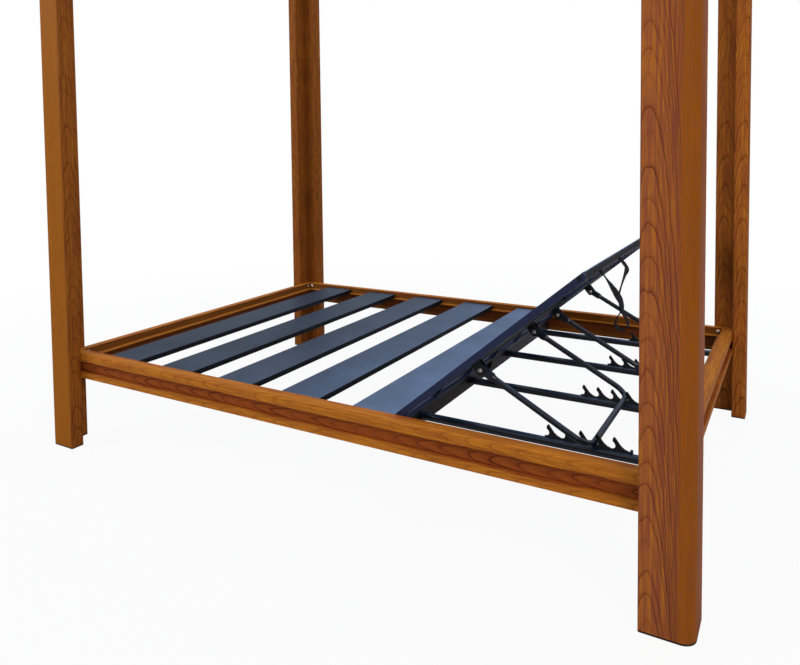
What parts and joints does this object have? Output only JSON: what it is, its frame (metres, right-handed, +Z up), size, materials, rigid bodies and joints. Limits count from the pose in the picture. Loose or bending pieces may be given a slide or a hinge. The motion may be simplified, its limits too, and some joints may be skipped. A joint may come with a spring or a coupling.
{
  "type": "outdoor daybed",
  "caption": "Slatted outdoor daybed with tall L-section corner posts, moulded wood-grain rails and two reclining backrests held by bails in toothed racks.",
  "frame": {"origin": "on the floor, at the middle of the plan of the four posts", "axes": "+X towards the head end with the backrests, +Y towards the rear side, +Z up"},
  "size_m": [2.08, 1.49, 2.15],
  "materials": {
    "wood_print_aluminium": "satin wood-grain print on aluminium",
    "slate_powder_coat": "fine-textured matt powder coat on aluminium",
    "blue_black_coat": "satin powder coat",
    "brown_black_coat": "satin powder coat",
    "black_coat": "satin powder coat",
    "stainless_fasteners": "satin stainless steel",
    "steel_axle": "drawn steel rod",
    "black_plastic": "moulded, fine matt grain",
    "webbing": "woven flat webbing"
  },
  "bodies": {
    "base": {"post_front_left": "wood_print_aluminium", "post_front_right": "wood_print_aluminium", "post_rear_right": "wood_print_aluminium", "post_rear_left": "wood_print_aluminium", "foot_cap_front_left": "black_plastic", "foot_cap_front_right": "black_plastic", "foot_cap_rear_right": "black_plastic", "foot_cap_rear_left": "black_plastic", "top_cap_front_left": "wood_print_aluminium", "top_cap_front_right": "wood_print_aluminium", "top_cap_rear_right": "wood_print_aluminium", "top_cap_rear_left": "wood_print_aluminium", "front_rail": "wood_print_aluminium", "right_rail": "wood_print_aluminium", "rear_rail": "wood_print_aluminium", "left_rail": "wood_print_aluminium", "top_front_rail": "wood_print_aluminium", "top_right_rail": "wood_print_aluminium", "top_rear_rail": "wood_print_aluminium", "top_left_rail": "wood_print_aluminium", "rail_bolts": "stainless_fasteners", "top_rail_bolts": "stainless_fasteners", "rail_inserts": "stainless_fasteners", "top_rail_inserts": "stainless_fasteners", "slat_1": "slate_powder_coat", "slat_2": "slate_powder_coat", "slat_3": "slate_powder_coat", "slat_4": "slate_powder_coat", "slat_5": "slate_powder_coat", "slat_screws": "stainless_fasteners", "cross_beam": "brown_black_coat", "tube_front_outer": "blue_black_coat", "tube_front_inner": "blue_black_coat", "tube_rear_inner": "blue_black_coat", "tube_rear_outer": "blue_black_coat", "rack_front_outer": "black_coat", "rack_front_inner": "black_coat", "rack_rear_inner": "black_coat", "rack_rear_outer": "black_coat", "hinge_axle": "steel_axle", "axle_sockets": "stainless_fasteners", "axle_lug": "brown_black_coat"},
    "front_backrest": {"front_frame": "blue_black_coat", "front_plank_1": "slate_powder_coat", "front_plank_2": "slate_powder_coat", "front_plank_3": "slate_powder_coat", "front_brackets": "black_coat", "front_pivot_screws": "stainless_fasteners", "front_plugs": "black_plastic"},
    "front_bail": {"front_bail": "blue_black_coat"},
    "front_strap": {"front_strap": "webbing"},
    "rear_backrest": {"rear_frame": "blue_black_coat", "rear_plank_1": "slate_powder_coat", "rear_plank_2": "slate_powder_coat", "rear_plank_3": "slate_powder_coat", "rear_brackets": "black_coat", "rear_pivot_screws": "stainless_fasteners", "rear_plugs": "black_plastic"},
    "rear_bail": {"rear_bail": "blue_black_coat"},
    "rear_strap": {"rear_strap": "webbing"}
  },
  "joints": [
    {"name": "front_tilt", "type": "hinge", "parent": "base", "child": "front_backrest", "pos_m": [0.299, -0.3315, 0.2945], "axis": [0, -1, 0], "range_deg": [0, 30]},
    {"name": "front_bail_swing", "type": "hinge", "parent": "front_backrest", "child": "front_bail", "pos_m": [0.49667, -0.3365, 0.43972], "axis": [0, -1, 0], "range_deg": [-30, 0]},
    {"name": "front_strap_swing", "type": "hinge", "parent": "front_backrest", "child": "front_strap", "pos_m": [0.77364, -0.3315, 0.70548], "axis": [0, -1, 0], "range_deg": [-30, 0]},
    {"name": "rear_tilt", "type": "hinge", "parent": "base", "child": "rear_backrest", "pos_m": [0.299, 0.3315, 0.2945], "axis": [0, -1, 0], "range_deg": [0, 30]},
    {"name": "rear_bail_swing", "type": "hinge", "parent": "rear_backrest", "child": "rear_bail", "pos_m": [0.49667, 0.3365, 0.43972], "axis": [0, -1, 0], "range_deg": [-30, 0]},
    {"name": "rear_strap_swing", "type": "hinge", "parent": "rear_backrest", "child": "rear_strap", "pos_m": [0.77364, 0.3315, 0.70548], "axis": [0, -1, 0], "range_deg": [-30, 0]}
  ],
  "couplings": [
    {"joint": "front_bail_swing", "follows": "front_tilt", "ratio": -1},
    {"joint": "front_strap_swing", "follows": "front_tilt", "ratio": -1},
    {"joint": "rear_bail_swing", "follows": "rear_tilt", "ratio": -1},
    {"joint": "rear_strap_swing", "follows": "rear_tilt", "ratio": -1}
  ]
}
